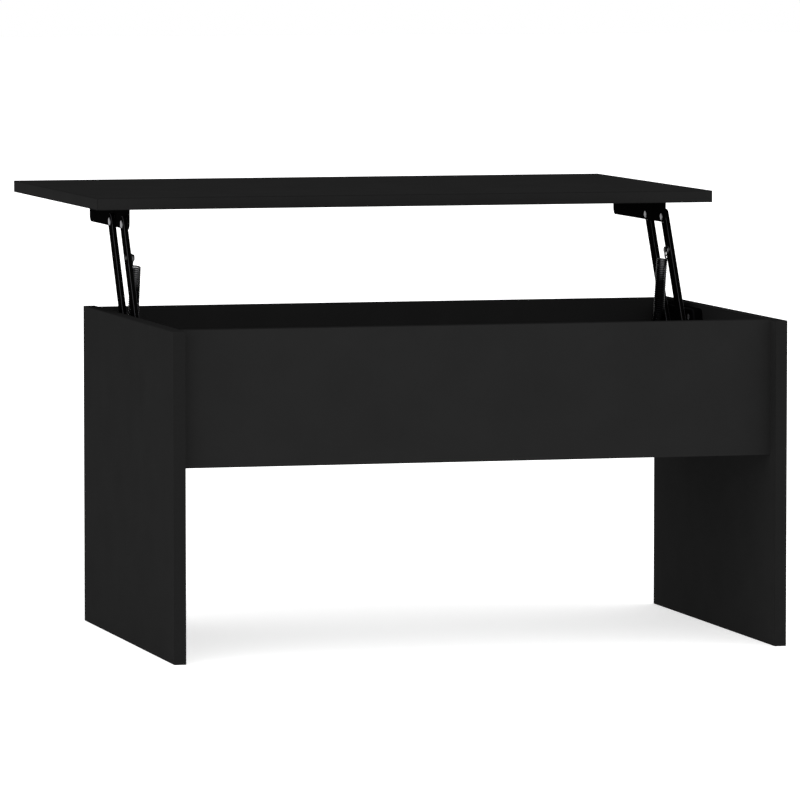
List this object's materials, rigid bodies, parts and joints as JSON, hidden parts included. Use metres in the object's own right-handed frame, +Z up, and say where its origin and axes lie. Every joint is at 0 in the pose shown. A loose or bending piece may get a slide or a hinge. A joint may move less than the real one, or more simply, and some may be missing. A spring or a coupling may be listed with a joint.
{
  "type": "lift top coffee table",
  "caption": "Low rectangular coffee table with board sides, an open-topped storage box and a lid that lifts forward and up on sprung parallel arms.",
  "frame": {"origin": "on the floor, under the middle of the whole table with its lid raised", "axes": "+Z up, +X to the right across the table's width, -Y to the front; the raised lid stands shifted towards +Y"},
  "size_m": [0.8, 0.8544, 0.5428],
  "materials": {
    "board": "black melamine-faced particleboard, matt",
    "black_steel": "black powder coat, satin",
    "rivet_steel": "zinc-plated steel, dulled",
    "bright_steel": "zinc-plated steel screws",
    "spring_wire": "blackened spring wire, oiled",
    "zinc": "die-cast zinc",
    "beech": "fluted beech dowel, raw"
  },
  "bodies": {
    "carcass": {"front_apron": "board", "back_apron": "board", "bottom_panel": "board", "cam_locks": "zinc", "cam_bolts": "bright_steel", "wood_dowels": "beech", "left_side_panel": "board", "left_base_bracket": "black_steel", "left_base_sleeves": "bright_steel", "left_base_screws": "bright_steel", "left_lower_rivets": "rivet_steel", "left_lower_washers": "rivet_steel", "left_stop_stud": "rivet_steel", "left_lower_spring_stud": "rivet_steel", "right_side_panel": "board", "right_base_bracket": "black_steel", "right_base_sleeves": "bright_steel", "right_base_screws": "bright_steel", "right_lower_rivets": "rivet_steel", "right_lower_washers": "rivet_steel", "right_stop_stud": "rivet_steel", "right_lower_spring_stud": "rivet_steel"},
    "lid": {"lid_panel": "board", "left_top_bracket": "black_steel", "left_top_screws": "bright_steel", "left_upper_rivets": "rivet_steel", "left_upper_washers": "rivet_steel", "right_top_bracket": "black_steel", "right_top_screws": "bright_steel", "right_upper_rivets": "rivet_steel", "right_upper_washers": "rivet_steel"},
    "left_rear_arm": {"left_rear_arm": "black_steel"},
    "left_front_arm": {"left_front_arm": "black_steel", "left_upper_spring_stud": "rivet_steel"},
    "left_spring": {"left_lift_spring": "spring_wire"},
    "left_spring_end": {"left_spring_hook": "spring_wire"},
    "right_rear_arm": {"right_rear_arm": "black_steel"},
    "right_front_arm": {"right_front_arm": "black_steel", "right_upper_spring_stud": "rivet_steel"},
    "right_spring": {"right_lift_spring": "spring_wire"},
    "right_spring_end": {"right_spring_hook": "spring_wire"}
  },
  "joints": [
    {"name": "lid_lift", "type": "hinge", "parent": "carcass", "child": "left_rear_arm", "pos_m": [-0.354, -0.07506, 0.29212], "axis": [1, 0, 0], "range_deg": [0, 98.5]},
    {"name": "left_front_arm_swing", "type": "hinge", "parent": "carcass", "child": "left_front_arm", "pos_m": [-0.354, -0.14386, 0.29212], "axis": [1, 0, 0], "range_deg": [0, 98.5]},
    {"name": "right_rear_arm_swing", "type": "hinge", "parent": "carcass", "child": "right_rear_arm", "pos_m": [0.354, -0.07506, 0.29212], "axis": [1, 0, 0], "range_deg": [0, 98.5]},
    {"name": "right_front_arm_swing", "type": "hinge", "parent": "carcass", "child": "right_front_arm", "pos_m": [0.354, -0.14386, 0.29212], "axis": [1, 0, 0], "range_deg": [0, 98.5]},
    {"name": "lid_level", "type": "hinge", "parent": "left_rear_arm", "child": "lid", "pos_m": [-0.354, 0.04585, 0.5075], "axis": [1, 0, 0], "range_deg": [-98.5, 0]},
    {"name": "left_spring_swing", "type": "hinge", "parent": "carcass", "child": "left_spring", "pos_m": [-0.3439, -0.01515, 0.315], "axis": [1, 0, 0], "range_deg": [0, 69.83]},
    {"name": "left_spring_stretch", "type": "slide", "parent": "left_spring", "child": "left_spring_end", "axis": [0, -0.1992, 0.9799], "range_m": [0, 0.1647], "deforming": ["left_lift_spring", "left_spring_hook"]},
    {"name": "right_spring_swing", "type": "hinge", "parent": "carcass", "child": "right_spring", "pos_m": [0.3439, -0.01515, 0.315], "axis": [1, 0, 0], "range_deg": [0, 69.83]},
    {"name": "right_spring_stretch", "type": "slide", "parent": "right_spring", "child": "right_spring_end", "axis": [0, -0.1992, 0.9799], "range_m": [0, 0.1647], "deforming": ["right_lift_spring", "right_spring_hook"]}
  ],
  "couplings": [
    {"joint": "left_front_arm_swing", "follows": "lid_lift", "ratio": 1},
    {"joint": "right_rear_arm_swing", "follows": "lid_lift", "ratio": 1},
    {"joint": "right_front_arm_swing", "follows": "lid_lift", "ratio": 1},
    {"joint": "lid_level", "follows": "lid_lift", "ratio": -1},
    {"joint": "left_spring_swing", "follows": "lid_lift", "ratio": 0.70894},
    {"joint": "left_spring_stretch", "follows": "lid_lift", "m_per_rad": 0.095804},
    {"joint": "right_spring_swing", "follows": "lid_lift", "ratio": 0.70894},
    {"joint": "right_spring_stretch", "follows": "lid_lift", "m_per_rad": 0.095804}
  ]
}
